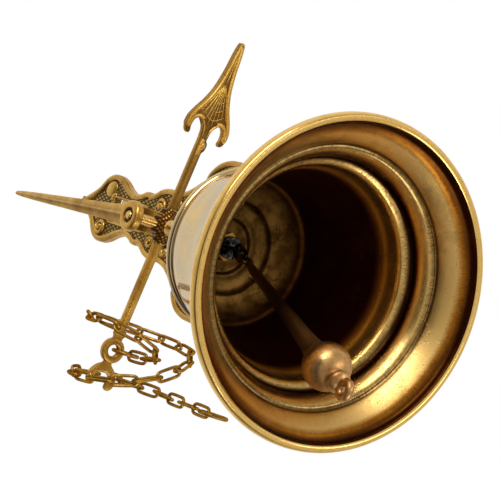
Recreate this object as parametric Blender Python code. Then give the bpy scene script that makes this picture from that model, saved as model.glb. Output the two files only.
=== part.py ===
"""Wall-hung sanctus bell: wall plate, arm, swinging hub with a lever, bell, clapper and chain.

Metres, +Z up, -Y out into the room. The origin is on the wall, behind the pin that the bell swings on.
"""

import math

import bmesh
import bpy
from mathutils import Matrix, Vector

# Driving dimensions
GAP = 0.0003                      # air between touching pieces
PIN_Y = -0.087                    # hub centre, out from the wall
LEVER_YAW = math.radians(6.0)     # the lever sits a little round from square on the hub

PLATE_MIDDLE_Z = 0.084
PLATE_THICK = 0.0048
PLATE_BORDER = 0.0028
PLATE_SUNK = 0.0014
WINDOW_Z = 0.167
WINDOW_LENGTH = 0.031
WINDOW_WIDTH = 0.0120
SCREW_HEIGHTS = (0.050, 0.118)
SCREW_HEAD_RADIUS = 0.0042
SCREW_SHANK_RADIUS = 0.0019
SCREW_HEAD_FLATNESS = 0.55
SCREW_SLOT_WIDTH = 0.0010
SCREW_SLOT_DEPTH = 0.0011

ARM_Z = 0.0132
ARM_WIDTH = 0.011
ARM_HEIGHT = 0.005
ARM_FOOT_HEIGHT = 0.028
ARM_FOOT_WIDTH = 0.0145
ARM_FOOT_THICK = 0.0035
LUG_Y = -0.0705
LUG_THICK = 0.0045

DISC_Y = -0.1055
DISC_RADIUS = 0.0071
DISC_THICK = 0.0046
BEARING_RADIUS = 0.0031
LEAF_TOP = 0.105
LEAF_LEAN = math.radians(3.5)

PIN_RADIUS = 0.0021
PIN_EDGE = 0.0005

HUB_HALF_LENGTH = 0.0080
HUB_HALF = 0.0054
HUB_END_HALF = 0.0028

ARROW_TIP = 0.0898
BAR_THICK = 0.0034
EYE_X = -0.0607
EYE_RADIUS = 0.0058
EYE_HOLE = 0.0028

MOUTH_Z = -0.146
BELL_HEIGHT = 0.098
CROWN_HOLE = 0.0036
STEM_RADIUS = 0.0030
CROWN_THICK = 0.0030
STEM_BELOW_CROWN = 0.0045

STAPLE_WIRE = 0.0009              # radii of the clapper's fittings
STAPLE_REACH = 0.0030
SHACKLE_RADIUS = 0.0026
CLAPPER_EYE_WIRE = 0.0010
CLAPPER_EYE_RADIUS = 0.0030
SHACKLE_PIVOT_Z = -0.0624         # middle of the staple's lowest wire
CLAPPER_PIVOT_Z = -0.0700         # middle of the shackle's lowest wire
CLAPPER_LEAN = math.radians(21.0)  # the clapper lies over towards the chain side
BALL_Z = -0.1590                  # before the clapper leans
BALL_RADIUS = 0.0106

WIRE = 0.0007                     # radius of the chain's wire
LINK_HALF_WIDTH = 0.0023          # middle of the wire
LINK_PITCH = 0.0108
LINK_PLAY = 0.0011
RING_RADIUS = 0.0058
RING_WIRE = 0.0008
TAIL_LINKS = 3
PULL_RING_RADIUS = 0.0062
PULL_RING_WIRE = 0.0009

BRASS = ("brass", (0.60, 0.40, 0.14), 0.28, 1.0)
PATINA_BRASS = ("patina_brass", (0.42, 0.30, 0.12), 0.42, 1.0)
COPPERY = ("coppery_brass", (0.52, 0.30, 0.13), 0.35, 1.0)
DARK_STEEL = ("dark_steel", (0.05, 0.045, 0.04), 0.30, 1.0)


def clear_scene():
    for thing in list(bpy.data.objects):
        bpy.data.objects.remove(thing, do_unlink=True)


def material(finish):
    name, colour, roughness, metallic = finish
    made = bpy.data.materials.get(name)
    if made is None:
        made = bpy.data.materials.new(name)
        made.use_nodes = True
        shader = made.node_tree.nodes["Principled BSDF"]
        shader.inputs["Base Color"].default_value = (*colour, 1.0)
        shader.inputs["Roughness"].default_value = roughness
        shader.inputs["Metallic"].default_value = metallic
    return made


def axis_empty(name, place, parent=None):
    empty = bpy.data.objects.new(name, None)
    bpy.context.scene.collection.objects.link(empty)
    empty.parent = parent
    base = parent_place(parent)
    empty.location = Vector(place) - base
    return empty


def parent_place(parent):
    base = Vector((0.0, 0.0, 0.0))
    while parent is not None:
        base += parent.location
        parent = parent.parent
    return base


def add_mesh(name, work, finish, parent=None, smooth_angle=35.0):
    """Turn a bmesh, drawn in world coordinates, into a named object under its axis."""
    base = parent_place(parent)
    bmesh.ops.translate(work, verts=work.verts, vec=-base)
    bmesh.ops.recalc_face_normals(work, faces=work.faces)
    mesh = bpy.data.meshes.new(name)
    work.to_mesh(mesh)
    work.free()
    mesh.shade_smooth()
    mesh.set_sharp_from_angle(angle=math.radians(smooth_angle))
    mesh.materials.append(material(finish))
    thing = bpy.data.objects.new(name, mesh)
    bpy.context.scene.collection.objects.link(thing)
    thing.parent = parent
    return thing


def hide_as_tool(thing):
    thing.hide_render = True
    thing.display_type = "WIRE"


def boolean(thing, tool, operation):
    step = thing.modifiers.new(operation.lower(), "BOOLEAN")
    step.operation = operation
    step.object = tool
    step.solver = "EXACT"
    hide_as_tool(tool)


def bevel(thing, width, segments=2):
    step = thing.modifiers.new("bevel", "BEVEL")
    step.width = width
    step.segments = segments
    step.limit_method = "ANGLE"
    step.angle_limit = math.radians(40.0)


def turned_mesh(profile, steps, frame):
    """Spin a profile of (radius, height) points about Z. It is closed where it leaves the axis."""
    work = bmesh.new()
    points = [work.verts.new((radius, 0.0, height)) for radius, height in profile]
    edges = [work.edges.new(pair) for pair in zip(points, points[1:])]
    if profile[0][0] > 0.0:
        edges.append(work.edges.new((points[-1], points[0])))
    bmesh.ops.spin(work, geom=points + edges, cent=(0, 0, 0), axis=(0, 0, 1),
                   angle=2.0 * math.pi, steps=steps, use_merge=True)
    bmesh.ops.remove_doubles(work, verts=work.verts, dist=1e-6)
    bmesh.ops.transform(work, matrix=frame, verts=work.verts)
    return work


def upright(place):
    return Matrix.Translation(place)


def along_y(place):
    """A frame whose Z points out into the room."""
    return Matrix.Translation(place) @ Matrix.Rotation(math.radians(90.0), 4, "X")


def cylinder(name, radius, low, high, frame, finish, parent=None, steps=32):
    profile = [(0.0, high), (radius, high), (radius, low), (0.0, low)]
    return add_mesh(name, turned_mesh(profile, steps, frame), finish, parent)


def prism_mesh(outline, low, high, frame):
    """Extrude a flat outline from low to high along the frame's Z."""
    work = bmesh.new()
    face = work.faces.new([work.verts.new((x, y, low)) for x, y in outline])
    moved = bmesh.ops.extrude_face_region(work, geom=[face])["geom"]
    tops = [v for v in moved if isinstance(v, bmesh.types.BMVert)]
    bmesh.ops.translate(work, verts=tops, vec=(0, 0, high - low))
    bmesh.ops.transform(work, matrix=frame, verts=work.verts)
    return work


def box_mesh(low, high):
    work = bmesh.new()
    bmesh.ops.create_cube(work, size=1.0)
    size = Vector(high) - Vector(low)
    middle = (Vector(high) + Vector(low)) / 2
    bmesh.ops.scale(work, verts=work.verts, vec=size)
    bmesh.ops.translate(work, verts=work.verts, vec=middle)
    return work


def spline_point(a, b, c, d, t):
    """Catmull-Rom point between b and c."""
    return 0.5 * (2 * b + (c - a) * t + (2 * a - 5 * b + 4 * c - d) * t * t
                  + (3 * b - a - 3 * c + d) * t ** 3)


def smooth_line(points, between):
    points = [Vector(p) for p in points]
    ends = [2 * points[0] - points[1]] + points + [2 * points[-1] - points[-2]]
    line = []
    for i in range(1, len(ends) - 2):
        line += [spline_point(*ends[i - 1:i + 3], step / between) for step in range(between)]
    return line + [points[-1]]


def arc(centre, radius, start, end, count):
    angles = [math.radians(start + (end - start) * i / count) for i in range(count + 1)]
    return [(centre[0] + radius * math.cos(a), centre[1] + radius * math.sin(a)) for a in angles]


def mirrored(half):
    """Close an outline whose half runs down the +X side, from and to the Y axis."""
    other = [(-x, y) for x, y in reversed(half) if x > 1e-6]
    return half + other


# Wall plate -------------------------------------------------------------------------------------

def plate_half(shrink=0.0):
    """The plate's right side, top to bottom: an ogee tip, a lobe, a scrolled neck and a wide lobe."""
    top = [(0.0, 0.1295), (0.0032, 0.1245), (0.0085, 0.1165), (0.0148, 0.1108), (0.0176, 0.1038),
           (0.0160, 0.0960), (0.0124, 0.0885), (0.0108, 0.0815), (0.0120, 0.0755), (0.0135, 0.0722),
           (0.0139, 0.0690), (0.0132, 0.0664), (0.0144, 0.0632), (0.0172, 0.0580), (0.0185, 0.0515),
           (0.0183, 0.0450), (0.0196, 0.0375), (0.0228, 0.0310), (0.0266, 0.0256), (0.0276, 0.0234),
           (0.0318, 0.0218), (0.0372, 0.0158), (0.0401, 0.0078), (0.0408, 0.0)]
    upper = [(p.x, p.y) for p in smooth_line([(x, y, 0.0) for x, y in top], 2)]
    half = upper + [(x, -y) for x, y in reversed(upper[:-1])]
    return inset_half(half, shrink) if shrink else half


def inset_half(half, width):
    """Move a half outline inwards by the border's width, and keep its ends on the middle line."""
    moved = []
    for i, (x, y) in enumerate(half):
        before = Vector(half[max(i - 1, 0)])
        after = Vector(half[min(i + 1, len(half) - 1)])
        along = (after - before).normalized()
        moved.append((x + along.y * width, y - along.x * width))
    inner = [(x, y) for x, y in moved if x > width / 3]
    return [(0.0, inner[0][1] + width), *inner, (0.0, inner[-1][1] - width)]


def plate_frame(y):
    return Matrix.Translation((0, y, PLATE_MIDDLE_Z)) @ Matrix.Rotation(math.radians(90.0), 4, "X")


def wall_plate():
    plate = add_mesh("wall_plate", prism_mesh(mirrored(plate_half()), 0.0, PLATE_THICK, plate_frame(0)),
                     PATINA_BRASS)
    field = add_mesh("plate_field_tool",
                     prism_mesh(mirrored(plate_half(PLATE_BORDER)), PLATE_THICK - PLATE_SUNK,
                                PLATE_THICK * 2, plate_frame(0)), PATINA_BRASS)
    boolean(plate, field, "DIFFERENCE")
    half_window = (WINDOW_WIDTH / 2, WINDOW_LENGTH / 2)
    window = add_mesh("plate_window_tool",
                      box_mesh((-half_window[0], -2 * PLATE_THICK, WINDOW_Z - half_window[1]),
                               (half_window[0], PLATE_THICK, WINDOW_Z + half_window[1])), PATINA_BRASS)
    boolean(plate, window, "DIFFERENCE")
    for i, height in enumerate(SCREW_HEIGHTS):
        hole = cylinder(f"plate_hole_tool_{i}", SCREW_SHANK_RADIUS + GAP, -PLATE_THICK, 2 * PLATE_THICK,
                        along_y((0, 0, height)), PATINA_BRASS, steps=20)
        boolean(plate, hole, "DIFFERENCE")


def wall_screws():
    """Two round-head screws, with their shanks cut at the wall face."""
    seat = PLATE_THICK - PLATE_SUNK + GAP
    dome = [(x, seat + (y - seat) * SCREW_HEAD_FLATNESS)
            for x, y in arc((0.0, seat), SCREW_HEAD_RADIUS, 90.0, 0.0, 5)]
    profile = [(0.0, dome[0][1]), *dome[1:], (SCREW_SHANK_RADIUS, seat), (SCREW_SHANK_RADIUS, GAP),
               (0.0, GAP)]
    for i, height in enumerate(SCREW_HEIGHTS):
        screw = add_mesh(f"wall_screw_{i + 1}", turned_mesh(profile, 20, along_y((0, 0, height))), BRASS)
        slot = box_mesh(
            (-2 * SCREW_HEAD_RADIUS, -2 * dome[0][1], height - SCREW_SLOT_WIDTH / 2),
            (2 * SCREW_HEAD_RADIUS, SCREW_SLOT_DEPTH - dome[0][1], height + SCREW_SLOT_WIDTH / 2))
        boolean(screw, add_mesh(f"screw_slot_tool_{i}", slot, BRASS), "DIFFERENCE")


# Arm, finial and pin ----------------------------------------------------------------------------

def bracket_arm():
    front = DISC_Y + DISC_THICK / 2 + GAP
    back = -(PLATE_THICK - PLATE_SUNK) - GAP
    bar = add_mesh("bracket_arm", box_mesh((-ARM_WIDTH / 2, front, ARM_Z - ARM_HEIGHT / 2),
                                           (ARM_WIDTH / 2, back - 0.001, ARM_Z + ARM_HEIGHT / 2)), BRASS)
    foot = add_mesh("arm_foot_tool",
                    box_mesh((-ARM_FOOT_WIDTH / 2, back - ARM_FOOT_THICK, ARM_Z - ARM_FOOT_HEIGHT / 2),
                             (ARM_FOOT_WIDTH / 2, back, ARM_Z + ARM_FOOT_HEIGHT / 2)), BRASS)
    boolean(bar, foot, "UNION")
    lug = add_mesh("arm_lug_tool", prism_mesh(lug_outline(), -LUG_THICK / 2, LUG_THICK / 2,
                                              along_y((0, LUG_Y, 0))), BRASS)
    boolean(bar, lug, "UNION")
    hole = cylinder("arm_bore_tool", BEARING_RADIUS, -LUG_THICK, LUG_THICK, along_y((0, LUG_Y, 0)), BRASS)
    boolean(bar, hole, "DIFFERENCE")
    bevel(bar, 0.0007, 2)


def lug_outline():
    top = ARM_Z + ARM_HEIGHT / 2 - 0.001
    width = ARM_WIDTH / 2 - 0.0012
    return [(-width, top), *arc((0.0, 0.0), DISC_RADIUS, 160.0, 380.0, 20), (width, top)]


def leaf_finial():
    """The front bearing disc, with a ridged blade rising from it."""
    turn = Matrix.Translation((0, DISC_Y, 0)) @ Matrix.Rotation(LEAF_LEAN, 4, "Y").inverted()
    half = DISC_THICK / 2
    rim = arc((DISC_RADIUS - 0.0012, half - 0.0012), 0.0012, 90.0, 0.0, 3)
    profile = [(BEARING_RADIUS, half), *rim, *[(x, -y) for x, y in reversed(rim)], (BEARING_RADIUS, -half)]
    disc = add_mesh("leaf_finial", turned_mesh(profile, 40, along_y((0, DISC_Y, 0))), BRASS)
    stations = [(0.0046, 0.0054, 0.0019), (0.0085, 0.0052, 0.0020), (0.0125, 0.0045, 0.0020),
                (0.0180, 0.0040, 0.0020), (0.030, 0.0036, 0.0020), (0.050, 0.0030, 0.0019),
                (0.070, 0.0024, 0.0017), (0.086, 0.0019, 0.0015), (0.098, 0.0015, 0.0012),
                (0.1035, 0.0010, 0.0008), (LEAF_TOP, 0.0004, 0.0003)]
    work = bmesh.new()
    rings = []
    for height, width, thick in stations:
        corners = ((width, 0.0), (width * 0.35, -thick), (-width * 0.35, -thick), (-width, 0.0),
                   (-width * 0.35, thick), (width * 0.35, thick))
        rings.append([work.verts.new((x, y, height)) for x, y in corners])
    for low, high in zip(rings, rings[1:]):
        for i in range(len(low)):
            j = (i + 1) % len(low)
            work.faces.new((low[i], low[j], high[j], high[i]))
    work.faces.new(rings[0])
    work.faces.new(rings[-1])
    bmesh.ops.transform(work, matrix=turn, verts=work.verts)
    blade = add_mesh("leaf_blade_tool", work, BRASS)
    boolean(disc, blade, "UNION")


def pivot_pin(yoke):
    """Headless pin, fixed in the hub. It hangs loosely in the disc in front and the lug behind."""
    front = DISC_Y - DISC_THICK / 2
    back = LUG_Y + LUG_THICK / 2 + GAP
    half = (back - front) / 2
    end = [(PIN_RADIUS - PIN_EDGE, half), (PIN_RADIUS, half - PIN_EDGE)]
    profile = [(0.0, half), *end, *[(radius, -place) for radius, place in reversed(end)], (0.0, -half)]
    frame = along_y((0, (front + back) / 2, 0))
    add_mesh("pivot_pin", turned_mesh(profile, 28, frame), BRASS, yoke)


def pin_washer(yoke):
    low = LUG_Y - LUG_THICK / 2 - GAP
    profile = [(PIN_RADIUS + GAP, 0.0005), (0.0045, 0.0005), (0.0045, -0.0005), (PIN_RADIUS + GAP, -0.0005)]
    add_mesh("pin_washer", turned_mesh(profile, 28, along_y((0, low - 0.0006, 0))), BRASS, yoke)


# Hub and lever ----------------------------------------------------------------------------------

def hub(yoke):
    """A lozenge block, eight-sided along the lever."""
    work = bmesh.new()
    rings = []
    for x, half in ((-HUB_HALF_LENGTH, HUB_END_HALF), (-0.0030, HUB_HALF), (0.0030, HUB_HALF),
                    (HUB_HALF_LENGTH, HUB_END_HALF)):
        turn = [math.radians(22.5 + 45.0 * i) for i in range(8)]
        reach = half / math.cos(math.radians(22.5))
        rings.append([work.verts.new((x, PIN_Y + reach * math.cos(a), reach * math.sin(a))) for a in turn])
    for low, high in zip(rings, rings[1:]):
        for i in range(8):
            j = (i + 1) % 8
            work.faces.new((low[i], low[j], high[j], high[i]))
    work.faces.new(rings[0])
    work.faces.new(rings[-1])
    block = add_mesh("hub", work, PATINA_BRASS, yoke, smooth_angle=20.0)
    hole = cylinder("hub_bore_tool", PIN_RADIUS + GAP, -0.02, 0.02, along_y((0, PIN_Y, 0)), BRASS,
                    yoke, steps=28)
    boolean(block, hole, "DIFFERENCE")


def lever_frame():
    return Matrix.Translation((0, PIN_Y, 0)) @ Matrix.Rotation(LEVER_YAW, 4, "Z")


def arrow_arm(yoke):
    """Bar and arrow finial. The half outline runs from the tip down one side to the hub."""
    start = HUB_HALF_LENGTH + GAP + 0.0002
    tip = [(p.x, p.y) for p in smooth_line(
        [(ARROW_TIP, 0.0, 0), (0.0893, 0.0011, 0), (0.0840, 0.0020, 0), (0.0760, 0.0027, 0),
         (0.0670, 0.0043, 0), (0.0600, 0.0069, 0), (0.0545, 0.0099, 0), (0.0505, 0.0116, 0)], 2)]
    barb = [(p.x, p.y) for p in smooth_line(
        [(0.0470, 0.0119, 0), (0.0438, 0.0108, 0), (0.0428, 0.0092, 0), (0.0440, 0.0083, 0),
         (0.0470, 0.0088, 0), (0.0500, 0.0080, 0), (0.0513, 0.0058, 0), (0.0500, 0.0036, 0),
         (0.0465, 0.0024, 0)], 2)]
    bud = [(0.0430, 0.0021), (0.0418, 0.0030), (0.0400, 0.0033), (0.0382, 0.0029), (0.0368, 0.0020)]
    half = tip + barb + bud + [(start, 0.0022)]
    outline = half + [(x, -y) for x, y in reversed(half) if y > 1e-6]
    arm = add_mesh("arrow_arm", prism_mesh(outline, -BAR_THICK / 2, BAR_THICK / 2, lever_frame()),
                   BRASS, yoke)
    bevel(arm, 0.0004, 1)


def eye_arm(yoke):
    """Bar, collar, chain eye and a split fishtail with outward curls."""
    start = -HUB_HALF_LENGTH - GAP - 0.0002
    half = [(start, 0.0020), (-0.0505, 0.0019), (-0.0515, 0.0028), (-0.0530, 0.0029), (-0.0541, 0.0021)]
    half += arc((EYE_X, 0.0), EYE_RADIUS, 28.0, 158.0, 14)
    tail = smooth_line([(-0.0672, 0.0020, 0), (-0.0690, 0.0046, 0), (-0.0722, 0.0068, 0),
                        (-0.0762, 0.0072, 0), (-0.0785, 0.0052, 0), (-0.0776, 0.0034, 0),
                        (-0.0752, 0.0036, 0), (-0.0742, 0.0044, 0), (-0.0722, 0.0034, 0),
                        (-0.0712, 0.0014, 0), (-0.0709, 0.0, 0)], 2)
    half += [(p.x, p.y) for p in tail]
    outline = half + [(x, -y) for x, y in reversed(half) if y > 1e-6]
    arm = add_mesh("eye_arm", prism_mesh(outline, -BAR_THICK / 2, BAR_THICK / 2, lever_frame()),
                   BRASS, yoke)
    hole = cylinder("eye_hole_tool", EYE_HOLE, -0.01, 0.01,
                    lever_frame() @ Matrix.Translation((EYE_X, 0, 0)), BRASS, yoke, steps=24)
    boolean(arm, hole, "DIFFERENCE")
    bevel(arm, 0.0004, 1)


# Bell -------------------------------------------------------------------------------------------

def crown_top():
    return MOUTH_Z + BELL_HEIGHT


def bead(middle, radius, thick):
    """Half-round bead on a turned stem, as profile points going down."""
    turns = [math.radians(60.0 - 30.0 * i) for i in range(5)]
    return [(radius - thick / 2 + thick / 2 * math.cos(a), middle + thick / 2 * math.sin(a)) for a in turns]


def crown_stem(yoke):
    """Turned stem from the hub down through the crown, with three beads and a foot."""
    top = -HUB_HALF - GAP
    foot = crown_top() + GAP
    low = crown_top() - CROWN_THICK - STEM_BELOW_CROWN
    profile = [(0.0, top), (0.0038, top), (0.0042, top - 0.002), (0.0030, top - 0.004)]
    profile += bead(-0.0160, 0.0058, 0.0060) + [(0.0030, -0.0200)]
    profile += bead(-0.0245, 0.0068, 0.0070) + [(0.0032, -0.0290)]
    profile += bead(-0.0330, 0.0058, 0.0060) + [(0.0034, -0.0372), (0.0042, -0.0400)]
    profile += [(0.0095, foot + 0.0035), (0.0108, foot + 0.0022), (0.0108, foot), (STEM_RADIUS, foot),
                (STEM_RADIUS, low), (0.0, low)]
    add_mesh("crown_stem", turned_mesh(profile, 20, upright((0, PIN_Y, 0))), BRASS, yoke)


def crown_nut(yoke):
    """Six-sided nut that pulls the crown up to the stem's foot."""
    top = crown_top() - CROWN_THICK - GAP
    low = top - 0.0032
    hexagon = arc((0.0, 0.0), 0.0066, 0.0, 300.0, 5)
    nut = add_mesh("crown_nut", prism_mesh(hexagon, low, top, upright((0, PIN_Y, 0))), PATINA_BRASS, yoke)
    hole = cylinder("nut_bore_tool", STEM_RADIUS + GAP, low - 0.01, top + 0.01, upright((0, PIN_Y, 0)),
                    BRASS, yoke, steps=28)
    boolean(nut, hole, "DIFFERENCE")


def bell_outside():
    """Outer profile as (radius, height over the mouth), crown to lip."""
    shoulder = [(CROWN_HOLE, 0.0980), (0.0130, 0.0980), (0.0140, 0.0972), (0.0200, 0.0966), (0.0265, 0.0944),
                (0.0318, 0.0906), (0.0350, 0.0860), (0.0362, 0.0838), (0.0372, 0.0826), (0.0372, 0.0808),
                (0.0366, 0.0796)]
    waist = [(0.0378, 0.0740), (0.0393, 0.0660), (0.0411, 0.0570), (0.0436, 0.0480)]
    moulding = [(0.0447, 0.0460), (0.0452, 0.0446), (0.0450, 0.0430), (0.0462, 0.0400)]
    flare = [(0.0500, 0.0315), (0.0552, 0.0225), (0.0606, 0.0150), (0.0655, 0.0092), (0.0690, 0.0062)]
    lip = [(0.0706, 0.0058), (0.0719, 0.0048), (0.0725, 0.0034), (0.0725, 0.0018), (0.0719, 0.0005),
           (0.0709, 0.0)]
    return shoulder + waist + moulding + flare + lip


def bell_inside():
    """Inner profile, lip to crown, with the turned steps of the casting."""
    return [(0.0692, 0.0), (0.0682, 0.0007), (0.0677, 0.0020), (0.0660, 0.0034), (0.0651, 0.0048),
            (0.0628, 0.0080), (0.0592, 0.0122), (0.0562, 0.0152), (0.0556, 0.0170), (0.0540, 0.0188),
            (0.0500, 0.0245), (0.0488, 0.0264), (0.0480, 0.0290), (0.0446, 0.0360), (0.0418, 0.0440),
            (0.0408, 0.0480), (0.0386, 0.0560), (0.0366, 0.0660), (0.0350, 0.0740), (0.0340, 0.0800),
            (0.0318, 0.0848), (0.0285, 0.0882), (0.0272, 0.0896), (0.0238, 0.0912), (0.0228, 0.0924),
            (0.0180, 0.0934), (0.0170, 0.0944), (0.0120, 0.0950), (CROWN_HOLE, 0.0950)]


def bell_body(yoke):
    profile = bell_outside() + bell_inside()
    add_mesh("bell_body", turned_mesh(profile, 36, upright((0, PIN_Y, MOUTH_Z))), BRASS, yoke)


# Clapper ----------------------------------------------------------------------------------------

def wire_form(name, centreline, wire, finish, parent, closed=True, detail=1):
    """Round wire through a list of world points, as a closed loop or with flat ends."""
    base = parent_place(parent)
    curve = bpy.data.curves.new(name, "CURVE")
    curve.dimensions = "3D"
    curve.bevel_depth = wire
    curve.bevel_resolution = detail
    curve.use_fill_caps = True
    spline = curve.splines.new("POLY")
    spline.points.add(len(centreline) - 1)
    for point, place in zip(spline.points, centreline):
        point.co = (*(Vector(place) - base), 1.0)
    spline.use_cyclic_u = closed
    drawn = bpy.data.objects.new(name, curve)
    mesh = bpy.data.meshes.new_from_object(drawn)
    bpy.data.objects.remove(drawn)
    mesh.shade_smooth()
    mesh.set_sharp_from_angle(angle=math.radians(60.0))
    mesh.materials.clear()
    mesh.materials.append(material(finish))
    form = bpy.data.objects.new(name, mesh)
    bpy.context.scene.collection.objects.link(form)
    form.parent = parent
    return form


def stadium(half_straight, radius, count):
    """Points of a long oval in its own plane, as (along, across)."""
    first = arc((half_straight, 0.0), radius, -90.0, 90.0, count)
    second = arc((-half_straight, 0.0), radius, 90.0, 270.0, count)
    return first + second


def oval_loop(middle, along, across, half_straight, radius, count):
    return [middle + along * u + across * v for u, v in stadium(half_straight, radius, count)]


def clapper_staple(yoke):
    """A steel U under the stem's end. Its lowest wire runs out from the wall."""
    top = crown_top() - CROWN_THICK - STEM_BELOW_CROWN - GAP
    low = top - 0.0014
    disc = cylinder("clapper_staple", 0.0052, low, top, upright((0, PIN_Y, 0)), DARK_STEEL, yoke, 24)
    bend = SHACKLE_PIVOT_Z + STAPLE_REACH
    leg_top = (low + top) / 2
    path = [(-STAPLE_REACH, leg_top), *arc((0.0, bend), STAPLE_REACH, 180.0, 360.0, 8),
            (STAPLE_REACH, leg_top)]
    legs = wire_form("staple_wire_tool", [(0, PIN_Y + y, z) for y, z in path], STAPLE_WIRE, DARK_STEEL,
                     yoke, closed=False, detail=2)
    boolean(disc, legs, "UNION")


def shackle(swing):
    """A long ring hung on the staple's wire. The clapper's eye hangs in its lower bend."""
    top = SHACKLE_PIVOT_Z + 2 * STAPLE_WIRE + GAP
    middle = Vector((0, PIN_Y, (top + CLAPPER_PIVOT_Z) / 2))
    half = (top - CLAPPER_PIVOT_Z) / 2 - SHACKLE_RADIUS
    points = oval_loop(middle, Vector((0, 0, 1)), Vector((1, 0, 0)), half, SHACKLE_RADIUS, 8)
    wire_form("clapper_shackle", points, STAPLE_WIRE, DARK_STEEL, swing, detail=2)


def clapper(swing):
    """Eye, tapering rod, ball, neck and tail eye in one forging."""
    eye_z = CLAPPER_PIVOT_Z + STAPLE_WIRE + CLAPPER_EYE_WIRE + GAP - CLAPPER_EYE_RADIUS
    rod_top = eye_z - CLAPPER_EYE_RADIUS + CLAPPER_EYE_WIRE / 2
    ball_top = BALL_Z + BALL_RADIUS
    neck_z = BALL_Z - BALL_RADIUS
    profile = [(0.0, rod_top), (0.0016, rod_top - 0.0010), (0.0021, rod_top - 0.010),
               (0.0030, rod_top - 0.040), (0.0042, ball_top + 0.010), (0.0052, ball_top + 0.003)]
    ball = arc((0.0, BALL_Z), BALL_RADIUS, 60.0, -62.0, 8)
    neck = [(0.0046, neck_z - 0.0002), (0.0052, neck_z - 0.0020), (0.0046, neck_z - 0.0034),
            (0.0030, neck_z - 0.0042), (0.0, neck_z - 0.0046)]
    rod = add_mesh("clapper", turned_mesh(profile + ball + neck, 18, upright((0, PIN_Y, 0))), COPPERY, swing)
    top_eye = [(0, PIN_Y + y, z) for y, z in arc((0, eye_z), CLAPPER_EYE_RADIUS, 0, 340, 17)]
    eye = wire_form("clapper_eye_tool", top_eye, CLAPPER_EYE_WIRE, COPPERY, swing)
    boolean(rod, eye, "UNION")
    tail = [(x, PIN_Y, z) for x, z in arc((0, neck_z - 0.0078), 0.0036, 0, 340, 17)]
    tail_eye = wire_form("clapper_tail_tool", tail, 0.0016, COPPERY, swing)
    boolean(rod, tail_eye, "UNION")


# Chain ------------------------------------------------------------------------------------------

def eye_place():
    return lever_frame() @ Vector((EYE_X, 0.0, 0.0))


def ring_places():
    """Middle of the connecting ring's wire: it stands across the lever, through the eye."""
    middle = eye_place() + Vector((0.0004, RING_RADIUS, -0.0022))
    turns = [math.radians(18.0 * i) for i in range(20)]
    return [middle + Vector((0, math.cos(a), math.sin(a))) * RING_RADIUS for a in turns]


def chain_route():
    """The gathered chain winds round the lever on both sides of the eye.

    The points are from the eye's middle, and start inside the bottom of the connecting ring.
    """
    start = RING_RADIUS + 0.0022 - RING_WIRE - LINK_PLAY / 2
    return [(0.0004, RING_RADIUS, -start), (0.0012, 0.0068, -0.0190), (0.0038, 0.0045, -0.0305),
            (0.0082, -0.0051, -0.0368), (0.0113, -0.0159, -0.0335), (0.0128, -0.0240, -0.0253),
            (0.0126, -0.0225, -0.0105), (0.0122, -0.0155, 0.0015), (0.0120, -0.0050, 0.0070),
            (0.0118, 0.0075, 0.0062), (0.0114, 0.0180, -0.0020), (0.0110, 0.0235, -0.0140),
            (0.0095, 0.0235, -0.0265), (0.0045, 0.0160, -0.0370), (-0.0020, 0.0045, -0.0420),
            (-0.0080, -0.0075, -0.0390), (-0.0120, -0.0175, -0.0300), (-0.0138, -0.0220, -0.0175),
            (-0.0138, -0.0195, -0.0045), (-0.0132, -0.0100, 0.0055), (-0.0126, 0.0020, 0.0076),
            (-0.0122, 0.0130, 0.0020), (-0.0120, 0.0190, -0.0090), (-0.0120, 0.0200, -0.0210),
            (-0.0120, 0.0200, -0.0330)]


def joints_along(line, pitch):
    """Places where one link hangs in the next, a pitch apart along the line."""
    found = [line[0]]
    for point in line[1:]:
        while (point - found[-1]).length >= pitch:
            found.append(found[-1] + (point - found[-1]).normalized() * pitch)
    return found


def link_reach():
    """From the place where two links meet to the middle of the wire's end."""
    return WIRE + LINK_PLAY / 2


def chain_link(name, start, end, across, parent):
    """A long oval link from one meeting place to the next, wide along across."""
    along = (end - start).normalized()
    half = LINK_PITCH / 2 + link_reach() - LINK_HALF_WIDTH
    points = oval_loop((start + end) / 2, along, across, half, LINK_HALF_WIDTH, 5)
    wire_form(name, points, WIRE, BRASS, parent)


def chain(yoke):
    """Gathered links ride on the lever. The last few hang free, each on its own axis.

    Each link stands square to the one before it, turned only as far as the chain bends.
    """
    eye = eye_place()
    line = smooth_line([eye + Vector(p) for p in chain_route()], 30)
    places = joints_along(line, LINK_PITCH)
    along = (places[1] - places[0]).normalized()
    wide = (Vector((1, 0, 0)) - along * along.x).normalized()
    for i, (start, end) in enumerate(zip(places, places[1:])):
        bend = along.rotation_difference(end - start)
        along = (end - start).normalized()
        wide = bend @ wide
        chain_link(f"chain_link_{i + 1:02d}", start, end, wide, yoke)
        wide = along.cross(wide)
    place = places[-1]
    down = Vector((0, 0, -1))
    wide = Vector((1, 0, 0))
    parent = yoke
    for i in range(TAIL_LINKS):
        parent = axis_empty(f"tail_axis_{i + 1}", place + down * link_reach(), parent)
        chain_link(f"chain_tail_{i + 1}", place, place + down * LINK_PITCH, wide, parent)
        wide = down.cross(wide)
        place = place + down * LINK_PITCH
    pull_ring(place, wide, parent)


def pull_ring(place, wide, parent):
    hinge = axis_empty("pull_ring_axis", place + Vector((0, 0, -link_reach())), parent)
    middle = place + Vector((0, 0, PULL_RING_WIRE + LINK_PLAY / 2 - PULL_RING_RADIUS))
    turns = [math.radians(15.0 * i) for i in range(24)]
    points = [middle + (wide * math.cos(a) + Vector((0, 0, 1)) * math.sin(a)) * PULL_RING_RADIUS
              for a in turns]
    wire_form("pull_ring", points, PULL_RING_WIRE, BRASS, hinge)


def connecting_ring(yoke):
    wire_form("connecting_ring", ring_places(), RING_WIRE, BRASS, yoke)


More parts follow.
